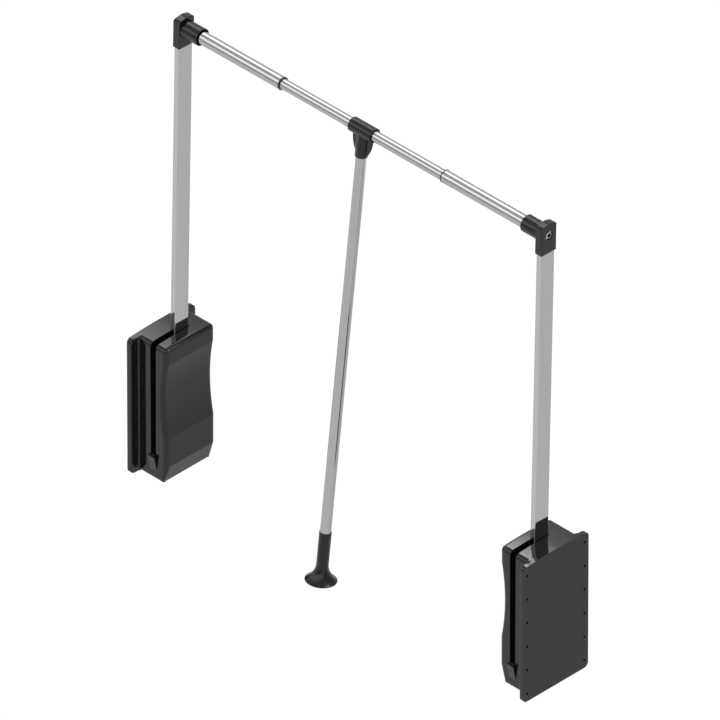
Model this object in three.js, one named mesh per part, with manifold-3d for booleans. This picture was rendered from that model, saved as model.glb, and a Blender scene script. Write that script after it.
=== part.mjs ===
// Pull-down closet rod: two wall housings with spring struts, two swinging arms, a telescopic rail
// and a pull rod that hangs from a tee on the rail.
// Millimetres, +Z up, -Y towards the user. The origin lies where the swing axis of the arms meets
// the wall face of the left housing, and +X runs along that axis to the right housing.

import * as THREE from 'three';
import { mergeVertices } from 'three/addons/utils/BufferGeometryUtils.js';
import Module from 'manifold-3d';

const wasm = await Module();
wasm.setup();

// Whole object
const wallToWall = 878.5;
const armRadius = 759;
const armPlane = 41;
const leanBack = THREE.MathUtils.degToRad(1.23);
const rodLean = THREE.MathUtils.degToRad(6.68);
const liftRange = THREE.MathUtils.degToRad(101);

// Clearances and facets
const seatGap = 0.3;
const runningGap = 0.4;
const overrun = 5;
const roundSegments = 20;
const smallSegments = 9;
const runningSegments = 15;
const arcSegments = 3;
const holeSegments = 7;

// Wall base with its fixing ears
const pivotAboveBottom = 73.2;
const housingCentre = 0.5;
const housingHeight = 261.2;
const housingBottom = -pivotAboveBottom;
const housingTop = housingBottom + housingHeight;
const crownRise = 3;
const baseWidth = 144;
const baseThickness = 9;
const baseCornerRadius = 8.5;
const earEdgeRadius = 2.2;
const wallHoleDiameter = 4.5;
const wallHoleRows = 6;
const wallHoleFromSide = 8.6;
const wallHoleFromBottom = 15;
const wallHoleFromTop = 19.7;
const wallHolePitch = (housingHeight - wallHoleFromBottom - wallHoleFromTop) / (wallHoleRows - 1);
const rimHeight = 6;
const rimThickness = 2;
const lugWidth = 9;
const lugLength = 3;
const lugHeight = 1;
const lugLevels = [45, 190];

// Slotted housing shell
const shellWidth = 109.6;
const shellDepth = 69.7;
const shellWall = 2.8;
const shellCornerRadius = 8;
const shellEdgeRadius = 8;
const shellFootRadius = 3;
const filletRadius = 3;
const chamferHeight = 33.7;
const chamferInset = 9.5;
const waistBottom = 88.2;
const waistTop = 229.2;
const waistSag = 7;
const slotWidth = 11.6;
const slotRear = 21.5;
const channelWall = 2;
const channelDepth = 27;
const channelLow = 40;
const lipTop = 46.7;
const lipBottom = 18.2;
const lipWidth = 15.4;
const lipReach = 5.75;

// Flat arm tube
const armThickness = 10;
const armWidth = 30;
const armWall = 1.3;
const armEdgeRadius = 1;
const armStart = 19;
const armPastRail = 11;

// Pivot
const shaftDiameter = 12;
const shaftHeadDiameter = 18;
const shaftHeadThickness = 2.4;
const grooveDiameter = 10;
const circlipThickness = 1.2;
const circlipWidth = 3;
const circlipMouth = THREE.MathUtils.degToRad(100);
const bushWall = 1.5;
const bushFlange = 1.2;
const bushFlangeDiameter = 19;
const bushLength = 9;

// Arm root: hub, blade inside the arm tube and crank lever
const hubDiameter = 32;
const hubInner = 25.6;
const hubOuter = 50;
const bladeThickness = 6.8;
const bladeWidth = 26.6;
const bladeReach = 118;
const crankRadius = 32;
const crankThickness = 4.6;
const crankEndRadius = 7.5;
const crankPinDiameter = 8;
const crankPinHead = 11;
const crankPinHeadThickness = 1.5;

// Steel chassis, cheek plate and the posts that join them
const chassisThickness = 3;
const chassisCorner = 6;
const chassisFront = -40;
const chassisRear = 46;
const chassisBottom = -58;
const chassisBelowTop = 9.5;
const chassisTop = housingTop - chassisBelowTop;
const cheekInner = 52;
const cheekThickness = 2.5;
const cheekBoss = 12;
const cheekShaftBoss = 18;
const postDiameter = 10;
const postTenon = 6;
const postRivet = 9;
const postRivetHeight = 1.4;
const postPlaces = [[-27, -44], [32, -46], [40, 98]];
const screwBelowTop = 26;
const chassisScrewPlaces = [[-30, chassisTop - screwBelowTop], [-30, 40]];
const screwShank = 4;
const screwHead = 8;
const screwHeadHeight = 2.4;
const screwInBase = 5;

// Spring strut
const strutLine = 26;
const strutDiameter = 16;
const strutAxisInWall = baseThickness + chassisThickness + strutDiameter / 2 + runningGap;
const strutBore = 13;
const strutBottom = 42;
const strutEndWall = 4;
const strutEyeDiameter = 15;
const strutEyeThickness = 8;
const strutEyeBelowTop = 19.5;
const strutNeck = 10;
const strutEyeHeight = housingTop - strutEyeBelowTop;
const strutTop = strutEyeHeight - strutNeck;
const strutPinDiameter = 6;
const strutPinHead = 9;
const strutPinHeadThickness = 1.5;
const strutRodDiameter = 8;
const pistonDiameter = 12.2;
const pistonHeight = 8;
const pistonInside = 16;
const carriageHeight = 26;
const carriageWidth = 37;
const carriageThickness = 7.6;
const yokeAllowance = 1.9;
const guideThickness = 2;
const guideReach = 12.5;
const guideBottom = -46;
const guideTop = 74;
const guideRelief = 22;

// Stops
const stopWidth = 10;
const stopHeight = 24;
const stopBelowTop = 13.5;
const stopTop = housingTop - stopBelowTop;
const stopBottom = stopTop - stopHeight;
const restPadDepth = 6;
const restPadThickness = 3;
const restPadFront = 1.3;

// End bracket between arm and rail
const bracketThickness = 14.4;
const bracketWidth = 33;
const bracketBelow = 33;
const bracketAbove = 16.6;
const bracketArch = 4;
const bracketBevel = 1.1;
const socketDiameter = 30;
const socketLength = 34.8;
const socketFloor = 0.9;
const socketChamfer = 0.8;
const socketMouthBore = 27;
const socketMouthDepth = 6;
const recessDiameter = 15.8;
const boltDiameter = 6;
const boltHead = 12.4;
const boltHeadHeight = 1.9;
const boltReach = 17;
const hexAcrossFlats = 6;
const hexDepth = 1.4;

// Telescopic rail
const outerTubeDiameter = 22;
const outerTubeBore = 19;
const outerTubeReach = 260;
const mouthRingDiameter = 22.6;
const mouthRingLength = 1.8;
const plugLength = 13;
const innerTubeDiameter = 18;
const innerTubeBore = 15.6;
const slideIn = 24;

// Tee and pull rod
const sleeveDiameter = 24.6;
const sleeveLength = 48.6;
const sleeveChamfer = 0.6;
const sleeveMouthBore = 22.2;
const sleeveMouthDepth = 5;
const stemDiameter = 21.6;
const stemLength = 47.2;
const stemRound = 1.2;
const rodSocketTop = 21;
const webThickness = 4.6;
const webHalfSpan = 21.5;
const webTop = 10;
const webBottom = 49;
const rodDiameter = 18;
const rodBore = 16;
const rodFit = 0.15;

// Foot of the pull rod
const footEnd = 819;
const footLength = 89;
const footTopDiameter = 20.2;
const footNeckDiameter = 19.9;
const footDisc = 52.2;
const footFlare = 32;
const footFlarePower = 2.4;
const footRim = 2.4;
const footDish = 1.2;
const rodAboveFootEnd = 39;

// Materials
const material = (name, color, roughness, metalness) =>
  Object.assign(new THREE.MeshStandardMaterial({ color, roughness, metalness }), { name });
const blackPlastic = material('black_plastic', 0x1c1c1d, 0.2, 0);
const satinBlack = material('satin_black_plastic', 0x1a1a1a, 0.35, 0);
const polishedSteel = material('polished_steel', 0xa9abad, 0.08, 1);
const chrome = material('chrome', 0xd4d6d8, 0.05, 1);
const zincSteel = material('zinc_steel', 0x8f9498, 0.4, 1);
const springSteel = material('dark_steel', 0x3a3c40, 0.45, 1);
const bronze = material('bronze', 0x8c6a3a, 0.45, 1);
const rubber = material('rubber', 0x141414, 0.85, 0);

// Solids

function toSolid(geometry) {
  const bare = geometry.clone();
  bare.deleteAttribute('normal');
  bare.deleteAttribute('uv');
  const merged = mergeVertices(bare);
  return new wasm.Manifold(new wasm.Mesh({
    numProp: 3,
    vertProperties: new Float32Array(merged.attributes.position.array),
    triVerts: new Uint32Array(merged.index.array),
  }));
}

function toGeometry(solid) {
  const mesh = solid.getMesh();
  const geometry = new THREE.BufferGeometry();
  geometry.setAttribute('position', new THREE.BufferAttribute(new Float32Array(mesh.vertProperties), 3));
  geometry.setIndex(new THREE.BufferAttribute(new Uint32Array(mesh.triVerts), 1));
  return geometry;
}

function join(...geometries) {
  return toGeometry(geometries.map(toSolid).reduce((all, next) => all.add(next)));
}

function cut(geometry, ...tools) {
  return toGeometry(tools.map(toSolid).reduce((all, next) => all.subtract(next), toSolid(geometry)));
}

function common(...geometries) {
  return toGeometry(geometries.map(toSolid).reduce((all, next) => all.intersect(next)));
}

// Axes of an extrusion: the outline's two axes and the direction of its depth
const facingX = new THREE.Matrix4().makeBasis(
  new THREE.Vector3(0, 1, 0), new THREE.Vector3(0, 0, 1), new THREE.Vector3(1, 0, 0));
const facingY = new THREE.Matrix4().makeBasis(
  new THREE.Vector3(0, 0, 1), new THREE.Vector3(1, 0, 0), new THREE.Vector3(0, 1, 0));

function extrude(shape, from, to, axes = null, options = {}) {
  const geometry = new THREE.ExtrudeGeometry(shape, {
    depth: to - from, bevelEnabled: false, curveSegments: arcSegments, ...options,
  });
  geometry.translate(0, 0, from);
  return axes ? geometry.applyMatrix4(axes) : geometry;
}

function box(x, y, z) {
  const geometry = new THREE.BoxGeometry(x[1] - x[0], y[1] - y[0], z[1] - z[0]);
  return geometry.translate((x[0] + x[1]) / 2, (y[0] + y[1]) / 2, (z[0] + z[1]) / 2);
}

function rodAlongX(diameter, from, to, y = 0, z = 0, segments = smallSegments) {
  const geometry = new THREE.CylinderGeometry(diameter / 2, diameter / 2, to - from, segments);
  geometry.rotateZ(-Math.PI / 2);
  return geometry.translate((from + to) / 2, y, z);
}

function rodAlongZ(diameter, from, to, x = 0, y = 0, segments = smallSegments) {
  const geometry = new THREE.CylinderGeometry(diameter / 2, diameter / 2, to - from, segments);
  geometry.rotateX(Math.PI / 2);
  return geometry.translate(x, y, (from + to) / 2);
}

// A revolved outline of [radius, height] pairs about Z, started and ended on the axis or closed
function revolve(pairs, segments = roundSegments) {
  const geometry = new THREE.LatheGeometry(pairs.map(([r, h]) => new THREE.Vector2(r, h)), segments);
  return geometry.rotateX(Math.PI / 2);
}

const alongX = geometry => geometry.rotateY(Math.PI / 2);

function tube(diameter, bore, from, to, segments = roundSegments) {
  return revolve([[bore / 2, from], [diameter / 2, from], [diameter / 2, to], [bore / 2, to],
    [bore / 2, from]], segments);
}

function roundedRect(halfWide, halfHigh, radius) {
  const shape = new THREE.Shape();
  shape.absarc(halfWide - radius, halfHigh - radius, radius, 0, Math.PI / 2);
  shape.absarc(radius - halfWide, halfHigh - radius, radius, Math.PI / 2, Math.PI);
  shape.absarc(radius - halfWide, radius - halfHigh, radius, Math.PI, 1.5 * Math.PI);
  shape.absarc(halfWide - radius, radius - halfHigh, radius, 1.5 * Math.PI, 2 * Math.PI);
  return shape;
}

// The convex outline round a set of circles given as [u, v, radius], in turn round the set
function beltOutline(circles) {
  const shape = new THREE.Shape();
  circles.forEach(([u, v, radius], i) => {
    const before = circles[(i + circles.length - 1) % circles.length];
    const after = circles[(i + 1) % circles.length];
    shape.absarc(u, v, radius, beltAngle(before, circles[i]), beltAngle(circles[i], after));
  });
  return shape;
}

// Angle of the outward normal on the straight run between two circles
function beltAngle([u0, v0, r0], [u1, v1, r1]) {
  const along = Math.atan2(v1 - v0, u1 - u0);
  const tilt = Math.acos((r0 - r1) / Math.hypot(u1 - u0, v1 - v0));
  return along - tilt;
}

// Wall base and shell

const crownRadius = ((baseWidth / 2) ** 2 + crownRise ** 2) / (2 * crownRise);
const shellFront = housingCentre - shellWidth / 2;
const slotNear = armPlane - slotWidth / 2;
const slotFar = armPlane + slotWidth / 2;

// Outline across the housing: flat bottom, sides, and a shallow crown tangent to round corners
function housingOutline(width, radius, inset) {
  const half = width / 2 - inset;
  const corner = radius - inset;
  const crown = crownRadius - inset;
  const crownCentre = housingTop - crownRadius;
  const cornerU = half - corner;
  const cornerV = crownCentre + Math.sqrt((crown - corner) ** 2 - cornerU ** 2);
  const turn = Math.atan2(cornerV - crownCentre, cornerU);
  const low = housingBottom + radius;
  const shape = new THREE.Shape();
  shape.absarc(housingCentre + cornerU, cornerV, corner, 0, turn);
  shape.absarc(housingCentre, crownCentre, crown, turn, Math.PI - turn);
  shape.absarc(housingCentre - cornerU, cornerV, corner, Math.PI - turn, Math.PI);
  shape.absarc(housingCentre - cornerU, low, corner, Math.PI, 1.5 * Math.PI);
  shape.absarc(housingCentre + cornerU, low, corner, 1.5 * Math.PI, 2 * Math.PI);
  return shape;
}

function snapLugs(grow) {
  const reach = shellWidth / 2 - shellWall;
  const rim = reach - runningGap;
  return lugLevels.flatMap(level => [-1, 1].map(side => {
    const edge = side * (rim + lugHeight + grow);
    const root = side * (rim - rimThickness / 2);
    const y = [housingCentre + Math.min(edge, root), housingCentre + Math.max(edge, root)];
    const x = [baseThickness + rimHeight - lugLength - grow, baseThickness + rimHeight + grow];
    const z = [housingBottom + level - lugWidth / 2 - grow, housingBottom + level + lugWidth / 2 + grow];
    return box(x, y, z);
  }));
}

function wallBase() {
  const plate = extrude(housingOutline(baseWidth, baseCornerRadius, 0), 0, baseThickness, facingX);
  const plan = roundedRect(baseThickness / 2, baseWidth / 2, earEdgeRadius);
  const softened = extrude(plan, housingBottom - overrun, housingTop + overrun);
  softened.translate(baseThickness / 2, housingCentre, 0);
  const fit = shellWall + runningGap;
  const rimEnd = baseThickness + rimHeight;
  const rim = cut(
    extrude(housingOutline(shellWidth, shellCornerRadius, fit), baseThickness / 2, rimEnd, facingX),
    extrude(housingOutline(shellWidth, shellCornerRadius, fit + rimThickness), 0, rimEnd + overrun, facingX));
  const holes = [];
  for (let row = 0; row < wallHoleRows; row += 1) {
    for (const side of [-1, 1]) {
      const y = housingCentre + side * (baseWidth / 2 - wallHoleFromSide);
      const z = housingBottom + wallHoleFromBottom + row * wallHolePitch;
      holes.push(rodAlongX(wallHoleDiameter, -overrun, baseThickness + overrun, y, z, holeSegments));
    }
  }
  for (const [y, z] of chassisScrewPlaces) {
    const from = baseThickness - screwInBase - seatGap;
    holes.push(rodAlongX(screwShank + 2 * seatGap, from, baseThickness + overrun, y, z));
  }
  return cut(join(common(plate, softened), rim, ...snapLugs(0)), ...holes);
}

// Depth of the shell from the wall at a level above its bottom
function shellDepthAt(level) {
  const chamfer = Math.min(1, level / chamferHeight);
  let depth = shellDepth - chamferInset * (1 - chamfer);
  if (level > waistBottom && level < waistTop) {
    const half = (waistTop - waistBottom) / 2;
    const radius = (half ** 2 + waistSag ** 2) / (2 * waistSag);
    const off = level - waistBottom - half;
    depth -= Math.sqrt(radius ** 2 - off ** 2) - (radius - waistSag);
  }
  const fromTop = housingHeight - crownRise / 2 - level;
  return depth - edgeDrop(shellFootRadius, level) - edgeDrop(shellEdgeRadius, fromTop);
}

// How far a rounded edge falls back at a distance from the edge
function edgeDrop(radius, away) {
  const near = Math.max(0, Math.min(radius, away));
  return radius - Math.sqrt(radius ** 2 - (radius - near) ** 2);
}

function shellLevels() {
  const top = housingHeight - crownRise / 2;
  const foot = [];
  const head = [];
  for (let i = 0; i <= arcSegments; i += 1) {
    const rise = 1 - Math.cos((i / arcSegments) * Math.PI / 2);
    foot.push(shellFootRadius * rise);
    head.unshift(top - shellEdgeRadius * rise);
  }
  const waist = [];
  const waistSteps = 2 * arcSegments;
  for (let i = 0; i <= waistSteps; i += 1) {
    waist.push(waistBottom + (waistTop - waistBottom) * i / waistSteps);
  }
  return [...foot, chamferHeight, ...waist, ...head];
}

// A closed solid through convex rings of equal length, each counter-clockwise seen from the far end
function loft(rings) {
  const size = rings[0].length;
  const index = [];
  for (let k = 0; k + 1 < rings.length; k += 1) {
    for (let i = 0; i < size; i += 1) {
      const a = k * size + i;
      const b = k * size + (i + 1) % size;
      index.push(a, b, b + size, a, b + size, a + size);
    }
  }
  const last = (rings.length - 1) * size;
  for (let i = 1; i + 1 < size; i += 1) {
    index.push(0, i + 1, i, last, last + i, last + i + 1);
  }
  const geometry = new THREE.BufferGeometry().setFromPoints(rings.flat());
  geometry.setIndex(index);
  return geometry;
}

// A closed body of stacked plan sections: a rectangle with its two outer corners rounded
function shellLoft(inset, back) {
  const half = shellWidth / 2 - inset;
  const corner = shellEdgeRadius - inset;
  const levels = shellLevels();
  const lofted = [housingBottom - overrun, ...levels.map(level => housingBottom + level),
    housingTop + overrun];
  const depths = [shellDepthAt(levels[0]), ...levels.map(shellDepthAt), shellDepthAt(levels.at(-1))];
  return loft(lofted.map((z, k) => {
    const depth = depths[k] - inset;
    const ring = [new THREE.Vector3(back, housingCentre - half, z)];
    for (const side of [-1, 1]) {
      for (let i = 0; i <= arcSegments; i += 1) {
        const turn = side * (side < 0 ? arcSegments - i : i) / arcSegments * Math.PI / 2;
        ring.push(new THREE.Vector3(depth - corner + corner * Math.cos(turn),
          housingCentre + side * (half - corner) + corner * Math.sin(turn), z));
      }
    }
    ring.push(new THREE.Vector3(back, housingCentre + half, z));
    return ring;
  }));
}

// Concave foot that rounds the shell's sides into the base, trimmed to the base's outline
function shellSkirt() {
  const rings = [];
  for (let i = 0; i <= arcSegments; i += 1) {
    const turn = (i / arcSegments) * Math.PI / 2;
    const x = baseThickness + filletRadius * (1 - Math.cos(turn));
    const grow = filletRadius * (1 - Math.sin(turn));
    const outline = housingOutline(shellWidth, shellCornerRadius, -grow);
    rings.push(outline.getPoints(arcSegments).map(point => new THREE.Vector3(x, point.x, point.y)));
  }
  return common(loft(rings), extrude(housingOutline(baseWidth, baseCornerRadius, 0), 0,
    baseThickness + 2 * filletRadius, facingX));
}

// Solid round the arm's slot, cut to walls: full depth above the hub, and shallow in front of it
function slotChannel() {
  const deep = shellFront + shellWall + channelDepth;
  const side = new THREE.Shape();
  side.moveTo(shellFront, lipLevel - channelWall);
  side.lineTo(deep, lipLevel - channelWall);
  side.lineTo(deep, channelLow);
  side.lineTo(slotRear + channelWall, channelLow);
  side.lineTo(slotRear + channelWall, housingTop + overrun);
  side.lineTo(shellFront, housingTop + overrun);
  return extrude(side, slotNear - channelWall, slotFar + channelWall, facingX);
}

const lipLevel = housingBottom + lipTop;
const lipFront = shellFront - lipReach;
const padFront = lipFront + restPadFront;

function armUndersideAt(y) {
  const below = liftRange - leanBack - Math.PI / 2;
  return -armWidth / 2 / Math.cos(below) + y * Math.tan(below);
}

const padTop = armUndersideAt(padFront) - seatGap;

function restPadBox(grow) {
  return box(
    [armPlane - stopWidth / 2 - grow, armPlane + stopWidth / 2 + grow],
    [padFront - grow, padFront + restPadDepth + grow],
    [padTop - restPadThickness, grow ? lipLevel + overrun : padTop]);
}

function housingShell() {
  const outline = extrude(housingOutline(shellWidth, shellCornerRadius, 0), baseThickness,
    shellDepth + overrun, facingX);
  const outer = common(outline, shellLoft(0, 0));
  const hollow = extrude(housingOutline(shellWidth, shellCornerRadius, shellWall), 0,
    shellDepth + overrun, facingX);
  const inner = common(hollow, shellLoft(shellWall, -overrun));
  const lipSide = new THREE.Shape();
  lipSide.moveTo(shellFront, housingBottom + lipBottom);
  lipSide.lineTo(shellFront + shellWall, housingBottom + lipBottom);
  lipSide.lineTo(shellFront + shellWall, lipLevel);
  lipSide.lineTo(lipFront, lipLevel);
  const lip = extrude(lipSide, armPlane - lipWidth / 2, armPlane + lipWidth / 2, facingX);
  const slot = box([slotNear, slotFar], [lipFront - overrun, slotRear], [lipLevel, housingTop + overrun]);
  const walls = cut(join(outer, shellSkirt()), inner);
  return cut(join(walls, common(outer, slotChannel()), lip), slot, restPadBox(seatGap),
    ...snapLugs(seatGap));
}

// Chassis, cheek plate and posts

function chassisPlate() {
  const inner = baseThickness;
  const outer = baseThickness + chassisThickness;
  const halfWide = (chassisRear - chassisFront) / 2;
  const halfHigh = (chassisTop - chassisBottom) / 2;
  const plate = extrude(roundedRect(halfWide, halfHigh, chassisCorner), inner, outer, facingX);
  plate.translate(0, chassisFront + halfWide, chassisBottom + halfHigh);
  const guides = [-1, 1].map(side => {
    const face = strutLine + side * (carriageWidth / 2 + runningGap);
    const back = face + side * guideThickness;
    return cut(box([inner + chassisThickness / 2, outer + guideReach],
      [Math.min(face, back), Math.max(face, back)], [guideBottom, guideTop]),
    rodAlongX(guideRelief, outer, outer + guideReach + overrun));
  });
  const holes = [
    rodAlongX(shaftDiameter + 2 * seatGap, 0, outer + overrun, 0, 0, runningSegments),
    rodAlongX(strutPinDiameter + 2 * seatGap, 0, outer + overrun, strutLine, strutEyeHeight),
    ...postPlaces.map(([y, z]) => rodAlongX(postTenon + 2 * seatGap, 0, outer + overrun, y, z)),
    ...chassisScrewPlaces.map(([y, z]) => rodAlongX(screwShank + 2 * seatGap, 0, outer + overrun, y, z)),
  ];
  return cut(join(plate, ...guides), ...holes);
}

function cheekPlate() {
  const [front, rear, top] = postPlaces;
  const outline = beltOutline([
    [front[0], front[1], cheekBoss / 2],
    [rear[0], rear[1], cheekBoss / 2],
    [top[0], top[1], cheekBoss / 2],
    [0, 0, cheekShaftBoss],
  ]);
  const plate = extrude(outline, cheekInner, cheekInner + cheekThickness, facingX);
  const far = cheekInner + cheekThickness + overrun;
  return cut(plate,
    rodAlongX(shaftDiameter + 2 * seatGap, cheekInner - overrun, far, 0, 0, runningSegments),
    ...postPlaces.map(([y, z]) => rodAlongX(postTenon + 2 * seatGap, cheekInner - overrun, far, y, z)));
}

// A turned post with a tenon at each end, the outer one riveted over the cheek plate
function spacerPost([y, z]) {
  const start = baseThickness + seatGap;
  const chassisFace = baseThickness + chassisThickness;
  const cheekFace = cheekInner + cheekThickness;
  const outline = [[0, start], [postTenon / 2, start], [postTenon / 2, chassisFace],
    [postDiameter / 2, chassisFace], [postDiameter / 2, cheekInner], [postTenon / 2, cheekInner],
    [postTenon / 2, cheekFace], [postRivet / 2, cheekFace], [postRivet / 2, cheekFace + postRivetHeight],
    [0, cheekFace + postRivetHeight]];
  return alongX(revolve(outline, smallSegments)).translate(0, y, z);
}

function chassisScrew([y, z]) {
  const face = baseThickness + chassisThickness;
  const outline = [[0, baseThickness - screwInBase], [screwShank / 2, baseThickness - screwInBase],
    [screwShank / 2, face], [screwHead / 2, face], [screwHead / 2, face + screwHeadHeight / 2],
    [screwHead / 4, face + screwHeadHeight], [0, face + screwHeadHeight]];
  return alongX(revolve(outline, smallSegments)).translate(0, y, z);
}

// Pivot shaft, its circlip and the bushes in the hub

const shaftEnd = cheekInner + cheekThickness + 2 * circlipThickness + seatGap;
const circlipStart = cheekInner + cheekThickness + seatGap / 2;
const shaftHeadEnd = baseThickness + chassisThickness + shaftHeadThickness;

function pivotShaft() {
  const start = baseThickness + seatGap;
  const face = baseThickness + chassisThickness;
  const grooveEnd = circlipStart + circlipThickness + seatGap;
  const outline = [[0, start], [shaftDiameter / 2, start], [shaftDiameter / 2, face],
    [shaftHeadDiameter / 2, face], [shaftHeadDiameter / 2, shaftHeadEnd],
    [shaftDiameter / 2, shaftHeadEnd], [shaftDiameter / 2, circlipStart - seatGap / 2],
    [grooveDiameter / 2, circlipStart - seatGap / 2], [grooveDiameter / 2, grooveEnd],
    [shaftDiameter / 2, grooveEnd], [shaftDiameter / 2, shaftEnd + circlipThickness],
    [0, shaftEnd + circlipThickness]];
  return alongX(revolve(outline, runningSegments));
}

function shaftCirclip() {
  const inner = grooveDiameter / 2 + seatGap / 2;
  const outer = inner + circlipWidth;
  const start = circlipMouth / 2 - Math.PI / 2;
  const end = 2 * Math.PI - circlipMouth / 2 - Math.PI / 2;
  const shape = new THREE.Shape();
  shape.absarc(0, 0, outer, start, end);
  shape.absarc(0, 0, inner, end, start, true);
  return extrude(shape, circlipStart, circlipStart + circlipThickness, facingX,
    { curveSegments: 2 * arcSegments });
}

function hubBush(outerEnd) {
  const face = outerEnd ? hubOuter : hubInner;
  const way = outerEnd ? 1 : -1;
  const bore = shaftDiameter / 2 + seatGap / 2;
  const outside = bore + bushWall;
  const flange = face + way * bushFlange;
  const depth = face - way * bushLength;
  const outline = [[bore, depth], [outside, depth], [outside, face], [bushFlangeDiameter / 2, face],
    [bushFlangeDiameter / 2, flange], [bore, flange], [bore, depth]];
  return alongX(revolve(way > 0 ? outline : outline.reverse(), runningSegments));
}

// Arm pieces, in a frame whose +Z runs up the arm from the swing axis

const crankTurn = liftRange / 2 - leanBack;
const crankFace = hubInner + crankThickness;
const crankPlace = [crankRadius * Math.cos(crankTurn), -crankRadius * Math.sin(crankTurn)];

function armRoot() {
  const hub = rodAlongX(hubDiameter, hubInner, hubOuter, 0, 0, roundSegments);
  const blade = box([armPlane - bladeThickness / 2, armPlane + bladeThickness / 2],
    [-bladeWidth / 2, bladeWidth / 2], [0, bladeReach]);
  const crank = extrude(beltOutline([[0, 0, hubDiameter / 2],
    [crankPlace[0], crankPlace[1], crankEndRadius]]), hubInner, crankFace, facingX);
  const bush = shaftDiameter + seatGap + 2 * bushWall;
  return cut(join(hub, blade, crank),
    rodAlongX(bush + 2 * seatGap, hubInner - overrun, hubInner + bushLength + seatGap, 0, 0,
      runningSegments),
    rodAlongX(bush + 2 * seatGap, hubOuter - bushLength - seatGap, hubOuter + overrun, 0, 0,
      runningSegments),
    rodAlongX(shaftDiameter + 2 * seatGap, 0, hubOuter + overrun, 0, 0, runningSegments),
    rodAlongX(crankPinDiameter * 3 / 4 + seatGap * 2, 0, crankFace + overrun, ...crankPlace));
}

const carriageMiddle = strutAxisInWall;
const carriageNear = carriageMiddle - carriageThickness / 2;
const carriageFar = carriageMiddle + carriageThickness / 2;

// The pin reaches from the crank through the yoke and is riveted over the crank's far face
function crankPin() {
  const neck = crankPinDiameter * 3 / 8;
  const outline = [[0, carriageNear], [crankPinDiameter / 2, carriageNear],
    [crankPinDiameter / 2, hubInner], [neck, hubInner], [neck, crankFace],
    [crankPinHead / 2, crankFace], [crankPinHead / 2, crankFace + crankPinHeadThickness],
    [0, crankFace + crankPinHeadThickness]];
  return alongX(revolve(outline, smallSegments)).translate(0, ...crankPlace);
}

function armTube() {
  const outside = extrude(roundedRect(armThickness / 2, armWidth / 2, armEdgeRadius),
    armStart, armRadius + armPastRail);
  const inside = extrude(roundedRect(armThickness / 2 - armWall, armWidth / 2 - armWall,
    armEdgeRadius / 2), armStart - overrun, armRadius + armPastRail + overrun);
  const bore = rodAlongX(boltDiameter + 2 * runningGap, -armThickness, armThickness, 0, armRadius);
  return cut(outside, inside, bore).translate(armPlane, 0, 0);
}

const plateOuter = armPlane - bracketThickness / 2;
const plateInner = armPlane + bracketThickness / 2;
const boltSeat = armPlane - armThickness / 2;

function endBracket() {
  const half = bracketWidth / 2;
  const archRadius = (half ** 2 + bracketArch ** 2) / (2 * bracketArch);
  const archCentre = bracketAbove + bracketArch - archRadius;
  const turn = Math.atan2(bracketAbove - archCentre, half);
  const outline = new THREE.Shape();
  outline.moveTo(-half, -bracketBelow);
  outline.lineTo(half, -bracketBelow);
  outline.lineTo(half, bracketAbove);
  outline.absarc(0, archCentre, archRadius, turn, Math.PI - turn);
  const plate = extrude(outline, plateOuter + bracketBevel, plateInner - bracketBevel, facingX, {
    bevelEnabled: true, bevelThickness: bracketBevel, bevelSize: bracketBevel,
    bevelOffset: -bracketBevel, bevelSegments: 1,
  });
  const socketEnd = plateInner + socketLength;
  const socket = alongX(revolve([[0, armPlane], [socketDiameter / 2, armPlane],
    [socketDiameter / 2, socketEnd - socketChamfer], [socketDiameter / 2 - socketChamfer, socketEnd],
    [0, socketEnd]]));
  const pocket = box([armPlane - armThickness / 2 - seatGap, armPlane + armThickness / 2 + seatGap],
    [-armWidth / 2 - seatGap, armWidth / 2 + seatGap],
    [-bracketBelow - overrun, armPastRail + seatGap]);
  return cut(join(plate, socket), pocket,
    rodAlongX(outerTubeDiameter + 2 * seatGap, plateInner + socketFloor, socketEnd + overrun, 0, 0,
      roundSegments),
    rodAlongX(socketMouthBore, socketEnd - socketMouthDepth, socketEnd + overrun, 0, 0, roundSegments),
    rodAlongX(boltDiameter + 2 * seatGap, plateOuter - overrun, socketEnd),
    rodAlongX(recessDiameter, plateOuter - overrun, boltSeat, 0, 0, roundSegments),
  ).translate(0, 0, armRadius);
}

const boltHeadFace = boltSeat - boltHeadHeight;
const plugStart = plateInner + socketFloor + seatGap;

function bracketBolt() {
  const round = boltHeadHeight / 4;
  const end = plugStart + boltReach;
  const body = alongX(revolve([[0, boltHeadFace], [boltHead / 2 - round, boltHeadFace],
    [boltHead / 2, boltHeadFace + round], [boltHead / 2, boltSeat], [boltDiameter / 2, boltSeat],
    [boltDiameter / 2, end], [0, end]]));
  const hex = new THREE.CylinderGeometry(hexAcrossFlats / Math.sqrt(3), hexAcrossFlats / Math.sqrt(3),
    2 * hexDepth, 6);
  hex.rotateZ(Math.PI / 2).translate(boltHeadFace, 0, 0);
  return cut(body, hex).translate(0, 0, armRadius);
}

function outerTube() {
  return alongX(tube(outerTubeDiameter, outerTubeBore, plateInner + socketFloor, outerTubeReach))
    .translate(0, 0, armRadius);
}

function tubePlug() {
  return alongX(tube(outerTubeBore - 2 * seatGap, boltDiameter + 2 * seatGap, plugStart,
    plugStart + plugLength, smallSegments)).translate(0, 0, armRadius);
}

function mouthRing() {
  return alongX(tube(mouthRingDiameter, innerTubeDiameter + 2 * seatGap, outerTubeReach,
    outerTubeReach + mouthRingLength)).translate(0, 0, armRadius);
}

// Strut pieces, fixed to the housing or sliding up and down in it

const yokeMiddle = -crankRadius * Math.sin(liftRange / 2);
const carriageTop = yokeMiddle + carriageHeight / 2;

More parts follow.
